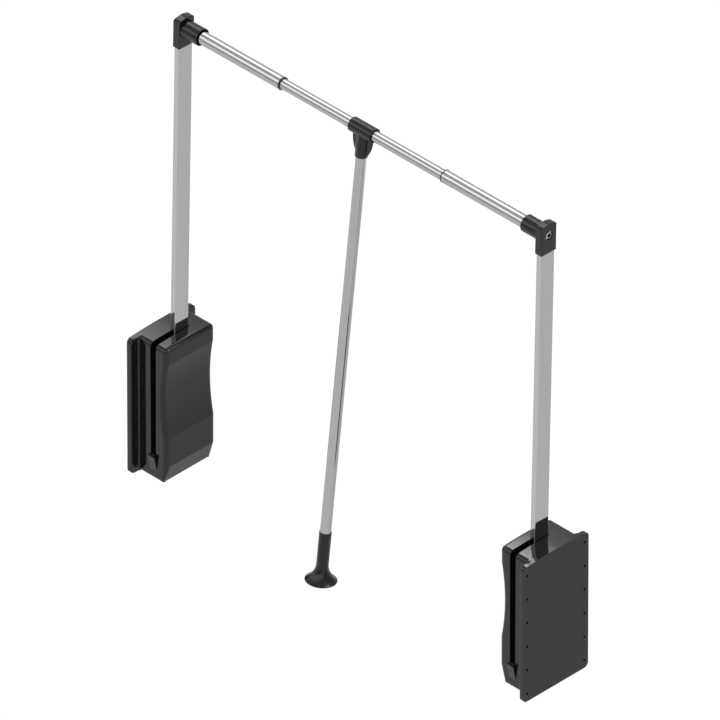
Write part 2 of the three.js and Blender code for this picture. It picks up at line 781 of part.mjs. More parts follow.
function strutCylinder() {
  const bore = strutRodDiameter / 2 + seatGap;
  const barrel = revolve([[bore, strutBottom], [strutDiameter / 2, strutBottom],
    [strutDiameter / 2, strutTop], [0, strutTop], [0, strutTop - strutEndWall],
    [strutBore / 2, strutTop - strutEndWall], [strutBore / 2, strutBottom + strutEndWall],
    [bore, strutBottom + strutEndWall], [bore, strutBottom]], smallSegments);
  barrel.translate(strutAxisInWall, strutLine, 0);
  const near = strutAxisInWall - strutEyeThickness / 2;
  const far = strutAxisInWall + strutEyeThickness / 2;
  const eye = rodAlongX(strutEyeDiameter, near, far, strutLine, strutEyeHeight);
  const neck = box([near, far], [strutLine - strutEyeDiameter / 4, strutLine + strutEyeDiameter / 4],
    [strutTop - strutEndWall / 2, strutEyeHeight]);
  return cut(join(barrel, eye, neck),
    rodAlongX(strutPinDiameter + 2 * seatGap, 0, far + overrun, strutLine, strutEyeHeight));
}

function strutPin() {
  const start = baseThickness + seatGap;
  const far = strutAxisInWall + strutEyeThickness / 2 + seatGap;
  return alongX(revolve([[0, start], [strutPinDiameter / 2, start], [strutPinDiameter / 2, far],
    [strutPinHead / 2, far], [strutPinHead / 2, far + strutPinHeadThickness],
    [0, far + strutPinHeadThickness]], smallSegments)).translate(0, strutLine, strutEyeHeight);
}

function strutRod() {
  const pistonTop = strutBottom + strutEndWall + pistonInside;
  return revolve([[0, carriageTop], [strutRodDiameter / 2, carriageTop],
    [strutRodDiameter / 2, pistonTop - pistonHeight], [pistonDiameter / 2, pistonTop - pistonHeight],
    [pistonDiameter / 2, pistonTop], [0, pistonTop]], smallSegments)
    .translate(strutAxisInWall, strutLine, 0);
}

// The carriage carries a level yoke slot, long enough for the pin's swing to front and rear
function strutCarriage() {
  const swing = crankRadius * (1 - Math.cos(liftRange / 2)) / 2;
  const pinMiddle = crankRadius - swing;
  const halfHigh = crankPinDiameter / 2 + yokeAllowance;
  const halfWide = halfHigh + swing + runningGap;
  const block = box([carriageNear, carriageFar],
    [strutLine - carriageWidth / 2, strutLine + carriageWidth / 2],
    [yokeMiddle - carriageHeight / 2, carriageTop]);
  const yoke = extrude(roundedRect(halfWide, halfHigh, halfHigh - seatGap), carriageNear - overrun,
    carriageFar + overrun, facingX);
  return cut(block, yoke.translate(0, pinMiddle, yokeMiddle));
}

// Rubber stop behind the raised arm, its front face tilted as the arm is
function upBuffer() {
  const faceAt = z => armWidth / 2 / Math.cos(leanBack) + z * Math.tan(leanBack) + seatGap;
  const side = new THREE.Shape();
  side.moveTo(faceAt(stopBottom), stopBottom);
  side.lineTo(slotRear, stopBottom);
  side.lineTo(slotRear, stopTop);
  side.lineTo(faceAt(stopTop), stopTop);
  return extrude(side, armPlane - stopWidth / 2, armPlane + stopWidth / 2, facingX);
}

// Centre pieces, in a frame at the middle of the rail whose -Z runs down the pull rod

function teePiece() {
  const half = sleeveLength / 2;
  const outer = sleeveDiameter / 2;
  const sleeve = alongX(revolve([[0, -half], [outer - sleeveChamfer, -half], [outer, sleeveChamfer - half],
    [outer, half - sleeveChamfer], [outer - sleeveChamfer, half], [0, half]]));
  const stem = revolve([[0, -stemLength], [stemDiameter / 2 - stemRound, -stemLength],
    [stemDiameter / 2, stemRound - stemLength], [stemDiameter / 2, 0], [0, 0]]);
  const web = new THREE.Shape();
  const webDrop = webBottom - webTop;
  const webSteps = 4 * arcSegments;
  web.moveTo(-webTop, webHalfSpan);
  for (let i = 1; i <= webSteps; i += 1) {
    const turn = (i / webSteps) * Math.PI;
    web.lineTo(-webTop - webDrop * Math.sin(turn), webHalfSpan * Math.cos(turn));
  }
  const webs = extrude(web, -webThickness / 2, webThickness / 2, facingY);
  const mouth = half - sleeveMouthDepth;
  return cut(join(sleeve, stem, webs),
    rodAlongX(sleeveMouthBore, -half - overrun, -mouth, 0, 0, roundSegments),
    rodAlongX(sleeveMouthBore, mouth, half + overrun, 0, 0, roundSegments),
    rodAlongX(innerTubeDiameter + 2 * seatGap, -half - overrun, half + overrun, 0, 0, roundSegments),
    rodAlongZ(rodDiameter + 2 * rodFit, -stemLength - overrun, -rodSocketTop, 0, 0, roundSegments));
}

const rodBottom = footEnd - rodAboveFootEnd;

function pullRod() {
  return tube(rodDiameter, rodBore, -rodBottom, -rodSocketTop - seatGap);
}

function footGrip() {
  const top = footLength - footEnd;
  const neckEnd = footFlare - footEnd;
  const rim = footRim - footEnd;
  const neck = footNeckDiameter / 2;
  const outline = [[0, footDish - footEnd], [footDisc / 2 - 2 * footRim, footDish - footEnd],
    [footDisc / 2 - footRim, -footEnd], [footDisc / 2 - footRim / 4, -footEnd],
    [footDisc / 2, footRim / 4 - footEnd], [footDisc / 2, rim - footRim / 4]];
  const steps = 2 * arcSegments;
  for (let i = 0; i <= steps; i += 1) {
    const share = 1 - i / steps;
    outline.push([neck + (footDisc / 2 - footRim / 4 - neck) * share ** footFlarePower,
      neckEnd - (neckEnd - rim) * share]);
  }
  outline.push([footTopDiameter / 2, top], [0, top]);
  return cut(revolve(outline),
    rodAlongZ(rodDiameter + 2 * rodFit, -rodBottom - seatGap, top + overrun, 0, 0, roundSegments));
}

function innerTube() {
  const start = plugStart + plugLength + slideIn;
  return alongX(tube(innerTubeDiameter, innerTubeBore, start, wallToWall - start));
}

// Assembly

const object = new THREE.Group();

function mirrored(geometry) {
  const turned = geometry.clone().scale(-1, 1, 1);
  if (!turned.index) turned.setIndex([...Array(turned.attributes.position.count).keys()]);
  const index = turned.index;
  for (let i = 0; i < index.count; i += 3) {
    const second = index.getX(i + 1);
    index.setX(i + 1, index.getX(i + 2));
    index.setX(i + 2, second);
  }
  return turned;
}

function add(group, name, geometry, look) {
  const mesh = new THREE.Mesh(geometry, look);
  mesh.name = name;
  group.add(mesh);
}

const fixedPieces = {
  wall_base: [wallBase(), satinBlack],
  housing_shell: [housingShell(), blackPlastic],
  chassis_plate: [chassisPlate(), zincSteel],
  cheek_plate: [cheekPlate(), zincSteel],
  pivot_shaft: [pivotShaft(), springSteel],
  shaft_circlip: [shaftCirclip(), springSteel],
  strut_cylinder: [strutCylinder(), springSteel],
  strut_rod: [strutRod(), chrome],
  strut_carriage: [strutCarriage(), satinBlack],
  strut_pin: [strutPin(), zincSteel],
  up_buffer: [upBuffer(), rubber],
  rest_pad: [restPadBox(0), rubber],
};
postPlaces.forEach((place, i) => {
  fixedPieces[`spacer_post_${i + 1}`] = [spacerPost(place), zincSteel];
});
chassisScrewPlaces.forEach((place, i) => {
  fixedPieces[`chassis_screw_${i + 1}`] = [chassisScrew(place), zincSteel];
});

const armPieces = {
  arm_root: [armRoot(), zincSteel],
  crank_pin: [crankPin(), springSteel],
  hub_bush_inner: [hubBush(false), bronze],
  hub_bush_outer: [hubBush(true), bronze],
  arm_tube: [armTube(), polishedSteel],
  end_bracket: [endBracket(), blackPlastic],
  bracket_bolt: [bracketBolt(), zincSteel],
  outer_tube: [outerTube(), chrome],
  tube_plug: [tubePlug(), satinBlack],
  mouth_ring: [mouthRing(), satinBlack],
};

for (const side of ['left', 'right']) {
  const isLeft = side === 'left';
  const place = geometry => (isLeft ? geometry : mirrored(geometry));
  const housing = new THREE.Group();
  const arm = new THREE.Group();
  housing.position.x = isLeft ? 0 : wallToWall;
  arm.rotation.x = -leanBack;
  housing.add(arm);
  object.add(housing);
  for (const [name, [geometry, look]] of Object.entries(fixedPieces)) {
    add(housing, `${side}_${name}`, place(geometry), look);
  }
  for (const [name, [geometry, look]] of Object.entries(armPieces)) {
    add(arm, `${side}_${name}`, place(geometry), look);
  }
}

const rail = new THREE.Group();
rail.position.set(0, armRadius * Math.sin(leanBack), armRadius * Math.cos(leanBack));
object.add(rail);
add(rail, 'inner_tube', innerTube(), chrome);

const hanging = new THREE.Group();
hanging.position.x = wallToWall / 2;
hanging.rotation.x = -rodLean;
rail.add(hanging);
add(hanging, 'tee_piece', teePiece(), blackPlastic);
add(hanging, 'pull_rod', pullRod(), polishedSteel);
add(hanging, 'foot_grip', footGrip(), blackPlastic);

export default object;
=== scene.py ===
# Pull down closet rod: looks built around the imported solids.
# The origin lies where the swing axis of the arms meets the wall face of the left housing.

import math

import bmesh
import bpy
from mathutils import Matrix, Vector


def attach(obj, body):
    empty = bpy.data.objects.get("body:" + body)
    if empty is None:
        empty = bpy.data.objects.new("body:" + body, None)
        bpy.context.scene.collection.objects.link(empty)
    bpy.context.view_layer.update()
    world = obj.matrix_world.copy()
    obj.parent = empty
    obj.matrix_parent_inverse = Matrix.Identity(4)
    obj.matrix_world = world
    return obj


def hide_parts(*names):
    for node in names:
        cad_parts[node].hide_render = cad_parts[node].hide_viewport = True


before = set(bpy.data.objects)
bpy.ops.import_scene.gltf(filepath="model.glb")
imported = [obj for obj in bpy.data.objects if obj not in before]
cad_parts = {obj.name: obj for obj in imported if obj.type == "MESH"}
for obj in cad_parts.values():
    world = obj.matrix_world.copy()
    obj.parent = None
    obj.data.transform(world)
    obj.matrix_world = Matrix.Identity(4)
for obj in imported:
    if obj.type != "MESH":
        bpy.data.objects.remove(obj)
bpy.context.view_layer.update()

# Millimetres, as in the part's source
MM = 0.001
WALL_TO_WALL = 878.5
ARM_RADIUS = 759
ARM_PLANE = 41
LEAN_BACK = math.radians(1.23)
ROD_LEAN = math.radians(6.68)
CENTRE = WALL_TO_WALL / 2
CLEARANCE = 0.3
OVERRUN = 5

# Housing
HOUSING_BOTTOM = -73.2
HOUSING_TOP = 188
HOUSING_CENTRE = 0.5
CROWN_RISE = 3
BASE_WIDTH = 144
BASE_THICKNESS = 9
BASE_CORNER = 8.5
EAR_EDGE = 2.2
EAR_MARGIN = 0.1
HOLE_DIAMETER = 4.7
HOLE_SINK = HOLE_DIAMETER / 8
HOLE_SEGMENTS = 32
HOLE_PITCH = 45.3
HOLE_ROWS = 6
HOLE_FROM_SIDE = 8.6
HOLE_FROM_BOTTOM = 15
SHELL_WIDTH = 109.6
SHELL_DEPTH = 69.7
SHELL_WALL = 2.8
SHELL_EDGE = 8
SHELL_FOOT_EDGE = 3
CHAMFER_HEIGHT = 33.7
CHAMFER_INSET = 9.5
WAIST_BOTTOM = 88.2
WAIST_TOP = 229.2
WAIST_SAG = 7
SLOT_WIDTH = 11.6
SLOT_REAR = 21.5
SLOT_EDGE = 0.9
SLOT_BEND_DEGREES = 40
CHANNEL_WALL = 2
CHANNEL_DEPTH = 27
CHANNEL_LOW = 40
LIP_TOP = 46.7
LIP_BOTTOM = 18.2
LIP_WIDTH = 15.4
LIP_REACH = 5.75
LIP_EDGE = 0.5
FILLET = 3

# Arm, bracket and bolt
ARM_THICKNESS = 10
ARM_WIDTH = 30
ARM_EDGE = 1
ARM_WALL = 1.3
ARM_START = 19
ARM_PAST_RAIL = 11
BRACKET_THICKNESS = 14.4
BRACKET_WIDTH = 33
BRACKET_BELOW = 33
BRACKET_ABOVE = 16.6
BRACKET_ARCH = 4
BRACKET_EDGE = 1.1
SOCKET_DIAMETER = 30
SOCKET_LENGTH = 34.8
SOCKET_EDGE = 1.2
SOCKET_FLOOR = 1
SOCKET_BORE = 22.6
SOCKET_MOUTH = 27
SOCKET_MOUTH_DEPTH = 6
RECESS_DIAMETER = 15.8
RECESS_EDGE = 0.4
BOLT_HEAD = 12.4
BOLT_HEAD_HEIGHT = 1.9
BOLT_FACE = 8.1
BOLT_RIM = 0.5
BOLT_SHANK = 6
BOLT_LENGTH = 28
HEX_ACROSS_FLATS = 6.8
HEX_DEPTH = 1.4

# Rail, tee, pull rod and foot
OUTER_TUBE = 22
OUTER_BORE = 19
OUTER_REACH = 260
TUBE_LIP = 0.3
RING_DIAMETER = 22.6
RING_LENGTH = 1.8
INNER_TUBE = 18
INNER_BORE = 15.6
INNER_START = 86.4
SLEEVE_DIAMETER = 24.6
SLEEVE_LENGTH = 48.6
SLEEVE_EDGE = 0.7
SLEEVE_MOUTH = 22.2
SLEEVE_MOUTH_DEPTH = 5
STEM_DIAMETER = 21.6
STEM_LENGTH = 47.2
STEM_EDGE = 1.3
WEB_THICKNESS = 4.6
WEB_HALF_SPAN = 21.5
WEB_TOP = 10
WEB_BOTTOM = 49
WEB_EDGE = 1.4
WEB_BEND_DEGREES = 60
ROD_DIAMETER = 18
ROD_BORE = 16
ROD_TOP = 21.3
ROD_BOTTOM = 780
FOOT_END = 819
FOOT_LENGTH = 89
FOOT_TOP = 20.2
FOOT_NECK = 19.9
FOOT_DISC = 52.2
FOOT_FLARE = 32
FOOT_FLARE_POWER = 2.4
FOOT_RIM = 2.4
FOOT_DISH = 1.2
FOOT_LIP = 0.35

# Segments of full circles, steps of arcs, and the angles and limits of the mesh tools
ROUND = 96
QUARTER_STEPS = 6
ARCH_STEPS = 20
DOME_STEPS = 9
WEB_STEPS = 36
RIM_STEPS = 11
FLARE_STEPS = 40
SHARP_ANGLE = math.radians(32)
FOOT_SHARP_ANGLE = math.radians(40)
FLAT_ANGLE = math.radians(0.5)
CREASE_ANGLE = math.radians(2)
MERGE_DISTANCE = 0.002
FACE_WEIGHT = 90


# Materials

# Noise seldom leaves these limits
NOISE_LIMITS = (0.3, 0.7)

# Noise cycles in a metre along X, Y and Z
FLOW_STRETCH = (14, 14, 9)
SKIN_STRETCH = (900, 900, 900)
POLISH_ALONG_X = (5, 420, 420)
POLISH_ALONG_Z = (420, 420, 5)

PLASTIC_IOR = 1.42
SKIN_DETAIL = 2


def object_place(tree):
    """The object coordinates."""
    return tree.nodes.new("ShaderNodeTexCoord").outputs["Object"]


def node_material(name):
    """A new material and its node tree, with the Principled shader and object coordinates ready."""
    material = bpy.data.materials.new(name)
    material.use_nodes = True
    tree = material.node_tree
    return material, tree, tree.nodes["Principled BSDF"], object_place(tree)


def noise(tree, place, stretch, detail=3):
    """Noise over the object coordinates, stretched by three cycle counts per metre."""
    mapping = tree.nodes.new("ShaderNodeMapping")
    mapping.inputs["Scale"].default_value = stretch
    tree.links.new(place, mapping.inputs["Vector"])
    texture = tree.nodes.new("ShaderNodeTexNoise")
    texture.inputs["Scale"].default_value = 1
    texture.inputs["Detail"].default_value = detail
    tree.links.new(mapping.outputs["Vector"], texture.inputs["Vector"])
    return texture.outputs["Fac"]


def mapped(tree, value, source, target):
    """The value, mapped from one pair of limits to another."""
    spread = tree.nodes.new("ShaderNodeMapRange")
    spread.inputs["From Min"].default_value, spread.inputs["From Max"].default_value = source
    spread.inputs["To Min"].default_value, spread.inputs["To Max"].default_value = target
    tree.links.new(value, spread.inputs["Value"])
    return spread.outputs["Result"]


def ranged(tree, value, low, high):
    """The noise value, spread between low and high."""
    return mapped(tree, value, NOISE_LIMITS, (low, high))


def tinted(tree, value, dark, light):
    """A colour between two, by the noise value."""
    ramp = tree.nodes.new("ShaderNodeValToRGB")
    for stop, position, colour in zip(ramp.color_ramp.elements, NOISE_LIMITS, (dark, light)):
        stop.position = position
        stop.color = (*colour, 1)
    tree.links.new(value, ramp.inputs["Fac"])
    return ramp.outputs["Color"]


def bumped(tree, shader, value, distance):
    """Raises the surface by the noise value, over distance in metres."""
    bump = tree.nodes.new("ShaderNodeBump")
    bump.inputs["Distance"].default_value = distance
    tree.links.new(value, bump.inputs["Height"])
    tree.links.new(bump.outputs["Normal"], shader.inputs["Normal"])


def moulded_plastic(name, dark, light, smooth, rough, ripple):
    """Moulded plastic: a faint flow in its gloss and a fine skin."""
    material, tree, shader, place = node_material(name)
    shader.inputs["IOR"].default_value = PLASTIC_IOR
    flow = noise(tree, place, FLOW_STRETCH)
    skin = noise(tree, place, SKIN_STRETCH, SKIN_DETAIL)
    tree.links.new(tinted(tree, flow, dark, light), shader.inputs["Base Color"])
    tree.links.new(ranged(tree, flow, smooth, rough), shader.inputs["Roughness"])
    bumped(tree, shader, skin, ripple)
    return material


def metal(name, dark, light, smooth, rough, stretch, ripple):
    """Metal with polishing lines drawn out along one direction."""
    material, tree, shader, place = node_material(name)
    shader.inputs["Metallic"].default_value = 1
    lines = noise(tree, place, stretch)
    tree.links.new(tinted(tree, lines, dark, light), shader.inputs["Base Color"])
    tree.links.new(ranged(tree, lines, smooth, rough), shader.inputs["Roughness"])
    bumped(tree, shader, lines, ripple)
    return material


GLOSS_BLACK = moulded_plastic(
    "gloss black plastic", dark=(0.0035, 0.0035, 0.0037), light=(0.005, 0.005, 0.0053),
    smooth=0.05, rough=0.09, ripple=0.0000004)
SOFT_BLACK = moulded_plastic(
    "soft black grip", dark=(0.002, 0.002, 0.0021), light=(0.0035, 0.0035, 0.0037),
    smooth=0.16, rough=0.24, ripple=0.000003)
SATIN_BLACK = moulded_plastic(
    "satin black plastic", dark=(0.009, 0.009, 0.0095), light=(0.012, 0.012, 0.0125),
    smooth=0.3, rough=0.42, ripple=0.000004)
ARM_STEEL = metal(
    "polished arm steel", dark=(0.47, 0.475, 0.48), light=(0.495, 0.5, 0.505),
    smooth=0.04, rough=0.07, stretch=POLISH_ALONG_Z, ripple=0.0000003)
ROD_STEEL = metal(
    "polished rod steel", dark=(0.405, 0.41, 0.415), light=(0.43, 0.435, 0.44),
    smooth=0.04, rough=0.07, stretch=POLISH_ALONG_Z, ripple=0.0000003)
RAIL_CHROME = metal(
    "chrome rail", dark=(0.42, 0.425, 0.43), light=(0.44, 0.445, 0.45),
    smooth=0.03, rough=0.055, stretch=POLISH_ALONG_X, ripple=0.0000003)
BOLT_STEEL = metal(
    "bright bolt steel", dark=(0.34, 0.345, 0.35), light=(0.42, 0.425, 0.43),
    smooth=0.1, rough=0.18, stretch=(300, 300, 300), ripple=0.000002)
# Near-black steel for the bolt's hex socket: painted shade standing in for the dark of the socket's recess
SOCKET_PAINTED_SHADE = metal(
    "painted shade in bolt socket", dark=(0.004, 0.004, 0.004), light=(0.008, 0.008, 0.008),
    smooth=0.45, rough=0.6, stretch=(300, 300, 300), ripple=0.000002)
ZINC_STEEL = metal(
    "zinc plated steel", dark=(0.4, 0.41, 0.42), light=(0.55, 0.56, 0.57),
    smooth=0.28, rough=0.42, stretch=(120, 120, 120), ripple=0.000004)
DARK_STEEL = metal(
    "blackened steel", dark=(0.03, 0.03, 0.033), light=(0.06, 0.06, 0.065),
    smooth=0.3, rough=0.45, stretch=(150, 150, 150), ripple=0.000004)
BRONZE = metal(
    "sintered bronze", dark=(0.3, 0.19, 0.08), light=(0.42, 0.28, 0.13),
    smooth=0.4, rough=0.55, stretch=(700, 700, 700), ripple=0.00001)
RUBBER = moulded_plastic(
    "black rubber", dark=(0.007, 0.007, 0.007), light=(0.011, 0.011, 0.011),
    smooth=0.7, rough=0.85, ripple=0.00001)


# Mesh tools

def placed(name, data):
    """A new object in the scene that holds a mesh, a lamp or a camera."""
    item = bpy.data.objects.new(name, data)
    bpy.context.scene.collection.objects.link(item)
    return item


def new_piece(name, verts, faces):
    """An object from points in millimetres."""
    mesh = bpy.data.meshes.new(name)
    mesh.from_pydata([Vector(v) * MM for v in verts], [], faces)
    mesh.validate()
    piece = placed(name, mesh)
    tidy_normals(piece)
    return piece


def tidy_normals(piece):
    """Turns all faces outwards."""
    bm = bmesh.new()
    bm.from_mesh(piece.data)
    bmesh.ops.recalc_face_normals(bm, faces=bm.faces)
    bm.to_mesh(piece.data)
    bm.free()


def prism(name, outline, low, high, axis="X"):
    """A prism over a closed outline: (y, z) points along X, (x, z) along Y or (x, y) along Z."""
    def point(depth, u, v):
        """The outline's point (u, v) at this depth along the axis."""
        return {"X": (depth, u, v), "Y": (u, depth, v), "Z": (u, v, depth)}[axis]
    count = len(outline)
    verts = [point(low, u, v) for u, v in outline] + [point(high, u, v) for u, v in outline]
    faces = [list(range(count)), list(range(count, 2 * count))]
    faces += [[i, (i + 1) % count, count + (i + 1) % count, count + i] for i in range(count)]
    return new_piece(name, verts, faces)


def lathe(name, pairs, along="Z", segments=ROUND):
    """A turned piece from (radius, height) pairs about the axis; ends at radius 0 are closed."""
    verts, rings = [], []
    for radius, height in pairs:
        if radius == 0:
            rings.append([len(verts)])
            verts.append((0, 0, height))
            continue
        rings.append(list(range(len(verts), len(verts) + segments)))
        verts += [(radius * math.cos(turn), radius * math.sin(turn), height)
                  for turn in (2 * math.pi * i / segments for i in range(segments))]
    faces = []
    for below, above in zip(rings, rings[1:]):
        for i in range(segments):
            j = (i + 1) % segments
            face = [below[i % len(below)], below[j % len(below)],
                    above[j % len(above)], above[i % len(above)]]
            faces.append(list(dict.fromkeys(face)))
    if along == "X":
        verts = [(z, x, y) for x, y, z in verts]
    return new_piece(name, verts, [face for face in faces if len(face) > 2])


def tube(name, diameter, bore, low, high, along="X"):
    """A tube with a small round at its ends."""
    outer, inner, lip = diameter / 2, bore / 2, TUBE_LIP
    return lathe(name, [(inner, low), (outer - lip, low), (outer, low + lip), (outer, high - lip),
                        (outer - lip, high), (inner, high), (inner, low)], along)


def bake(piece):
    """Makes the piece's modifiers real."""
    view = bpy.context.evaluated_depsgraph_get()
    view.update()
    mesh = bpy.data.meshes.new_from_object(piece.evaluated_get(view))
    piece.modifiers.clear()
    old, piece.data = piece.data, mesh
    bpy.data.meshes.remove(old)


def combine(piece, tool, operation="DIFFERENCE"):
    """Cuts, joins or intersects the piece with a tool, which is used up."""
    modifier = piece.modifiers.new(operation.lower(), "BOOLEAN")
    modifier.operation = operation
    modifier.solver = "EXACT"
    modifier.object = tool
    bake(piece)
    bpy.data.objects.remove(tool)
    return piece


def rounded(piece, width, segments, pick):
    """Rounds the edges for which pick(edge) holds."""
    bm = bmesh.new()
    bm.from_mesh(piece.data)
    bmesh.ops.dissolve_limit(bm, angle_limit=FLAT_ANGLE, verts=bm.verts, edges=bm.edges)
    edges = [edge for edge in bm.edges if len(edge.link_faces) == 2 and pick(edge)]
    bmesh.ops.bevel(bm, geom=edges, offset=width * MM, offset_type="OFFSET", segments=segments,
                    profile=0.5, affect="EDGES", clamp_overlap=False)
    bmesh.ops.remove_doubles(bm, verts=bm.verts, dist=MERGE_DISTANCE * MM)
    bm.to_mesh(piece.data)
    bm.free()
    return piece


def bends(edge, degrees=25):
    """True if the faces of the edge meet at more than these degrees."""
    return edge.calc_face_angle(0) > math.radians(degrees)


def all_at(edge, axis, value, within=0.05):
    """True if both ends of the edge lie at this millimetre value on the axis."""
    return all(abs(vert.co[axis] / MM - value) < within for vert in edge.verts)


def creased(piece, levels):
    """Marks the edges that lie at these heights as sharp."""
    bm = bmesh.new()
    bm.from_mesh(piece.data)
    for edge in bm.edges:
        if edge.calc_face_angle(0) > CREASE_ANGLE and any(all_at(edge, 2, level) for level in levels):
            edge.smooth = False
    bm.to_mesh(piece.data)
    bm.free()


def finished(piece, material, body, node, angle=SHARP_ANGLE, creases=()):
    """Shades, paints and attaches a piece, in place of the CAD node named."""
    if not piece.data.materials:
        piece.data.materials.append(material)
    piece.data.shade_smooth()
    piece.data.set_sharp_from_angle(angle=angle)
    creased(piece, creases)
    normals = piece.modifiers.new("flat faces stay flat", "WEIGHTED_NORMAL")
    normals.keep_sharp = True
    normals.weight = FACE_WEIGHT
    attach(piece, body)
    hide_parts(node)


def copied(piece, name):
    """A copy of the piece with its own mesh."""
    twin = piece.copy()
    twin.data = piece.data.copy()
    twin.name = name
    bpy.context.scene.collection.objects.link(twin)
    return twin


def both_sides(piece, material, body, node, creases=()):
    """Puts the left piece in place and its mirror image on the right side."""
    right = copied(piece, f"{node}_right_look")
    right.data.transform(Matrix.Translation((WALL_TO_WALL * MM, 0, 0)) @ Matrix.Scale(-1, 4, (1, 0, 0)))
    right.data.flip_normals()
    piece.name = f"{node}_left_look"
    finished(piece, material, f"left_{body}", f"left_{node}", creases=creases)
    finished(right, material, f"right_{body}", f"right_{node}", creases=creases)


# Housing

CROWN_RADIUS = ((BASE_WIDTH / 2) ** 2 + CROWN_RISE ** 2) / (2 * CROWN_RISE)
CROWN_STEPS = 10
CORNER_STEPS = 8
WAIST_STEPS = 28
SHELL_FRONT = HOUSING_CENTRE - SHELL_WIDTH / 2
SLOT_NEAR = ARM_PLANE - SLOT_WIDTH / 2
SLOT_FAR = ARM_PLANE + SLOT_WIDTH / 2


def arc(u, v, radius, start, end, steps):
    """Points on an arc, angles in degrees."""
    turns = [math.radians(start + (end - start) * i / steps) for i in range(steps + 1)]
    return [(u + radius * math.cos(turn), v + radius * math.sin(turn)) for turn in turns]


def sharp_outline(width, inset):
    """The housing's outline across, with sharp corners: flat foot, straight sides and a shallow crown."""
    half = width / 2 - inset
    crown = CROWN_RADIUS - inset
    bottom = HOUSING_BOTTOM + inset
    turn = math.degrees(math.asin(half / crown))
    top = arc(HOUSING_CENTRE, HOUSING_TOP - CROWN_RADIUS, crown, 90 - turn, 90 + turn, CROWN_STEPS)
    return top + [(HOUSING_CENTRE - half, bottom), (HOUSING_CENTRE + half, bottom)]


def round_outline(width, corner, grow=0, split=0):
    """The same outline with round corners, grown outwards, with points at the split on foot and crown."""
    crown = CROWN_RADIUS + grow
    crown_centre = HOUSING_TOP - CROWN_RADIUS
    rounding = corner + grow
    corner_u = width / 2 - corner
    corner_v = crown_centre + math.sqrt((crown - rounding) ** 2 - corner_u ** 2)
    turn = math.degrees(math.atan2(corner_v - crown_centre, corner_u))
    low = HOUSING_BOTTOM + corner
    mid = math.degrees(math.acos(split / crown)) if split else turn
    crown_points = arc(HOUSING_CENTRE, crown_centre, crown, mid, 180 - mid, CROWN_STEPS)
    outline = arc(HOUSING_CENTRE + corner_u, corner_v, rounding, 0, turn, CORNER_STEPS)
    outline += crown_points if split else crown_points[1:-1]
    outline += arc(HOUSING_CENTRE - corner_u, corner_v, rounding, 180 - turn, 180, CORNER_STEPS)
    outline += arc(HOUSING_CENTRE - corner_u, low, rounding, 180, 270, CORNER_STEPS)
    if split:
        outline += [(HOUSING_CENTRE - split, HOUSING_BOTTOM), (HOUSING_CENTRE + split, HOUSING_BOTTOM)]
    outline += arc(HOUSING_CENTRE + corner_u, low, rounding, 270, 360, CORNER_STEPS)
    return outline


def depth_profile(inset, back):
    """The shell's side profile: chamfer, flat, waist and flat, as (x, z) points."""
    points = [(back, HOUSING_BOTTOM - OVERRUN)]
    slope = CHAMFER_INSET / CHAMFER_HEIGHT
    points.append((SHELL_DEPTH - CHAMFER_INSET - OVERRUN * slope - inset, HOUSING_BOTTOM - OVERRUN))
    points.append((SHELL_DEPTH - inset, HOUSING_BOTTOM + CHAMFER_HEIGHT))
    half = (WAIST_TOP - WAIST_BOTTOM) / 2
    radius = (half ** 2 + WAIST_SAG ** 2) / (2 * WAIST_SAG)
    for i in range(WAIST_STEPS + 1):
        off = -half + 2 * half * i / WAIST_STEPS
        sag = math.sqrt(radius ** 2 - off ** 2) - (radius - WAIST_SAG)
        points.append((SHELL_DEPTH - inset - sag, HOUSING_BOTTOM + WAIST_BOTTOM + half + off))
    points.append((SHELL_DEPTH - inset, HOUSING_TOP + OVERRUN))
    points.append((back, HOUSING_TOP + OVERRUN))
    return points


def block(name, x, y, z):
    """A plain block, used as a cutting tool or as a small feature."""
    return prism(name, [(y[0], z[0]), (y[1], z[0]), (y[1], z[1]), (y[0], z[1])], x[0], x[1])


def shell_body(name, inset, back):
    """The shell's solid form, or the hollow inside it, with its rounded edges."""
    body = prism(name, sharp_outline(SHELL_WIDTH, inset), back, SHELL_DEPTH + OVERRUN)
    tool = prism("profile tool", depth_profile(inset, back - OVERRUN), HOUSING_CENTRE - SHELL_WIDTH,
                 HOUSING_CENTRE + SHELL_WIDTH, "Y")
    combine(body, tool, "INTERSECT")

    def outer_foot(edge):
        """True for the edges of the flat foot that stand clear of the wall plate."""
        away = all(vert.co.x / MM > back + OVERRUN for vert in edge.verts)
        return away and all_at(edge, 2, HOUSING_BOTTOM + inset)

    rounded(body, SHELL_EDGE - inset, CORNER_STEPS,
            lambda edge: bends(edge) and not all_at(edge, 0, back) and not outer_foot(edge))
    if not inset:
        rounded(body, SHELL_FOOT_EDGE, 4, lambda edge: bends(edge) and outer_foot(edge))
    return body


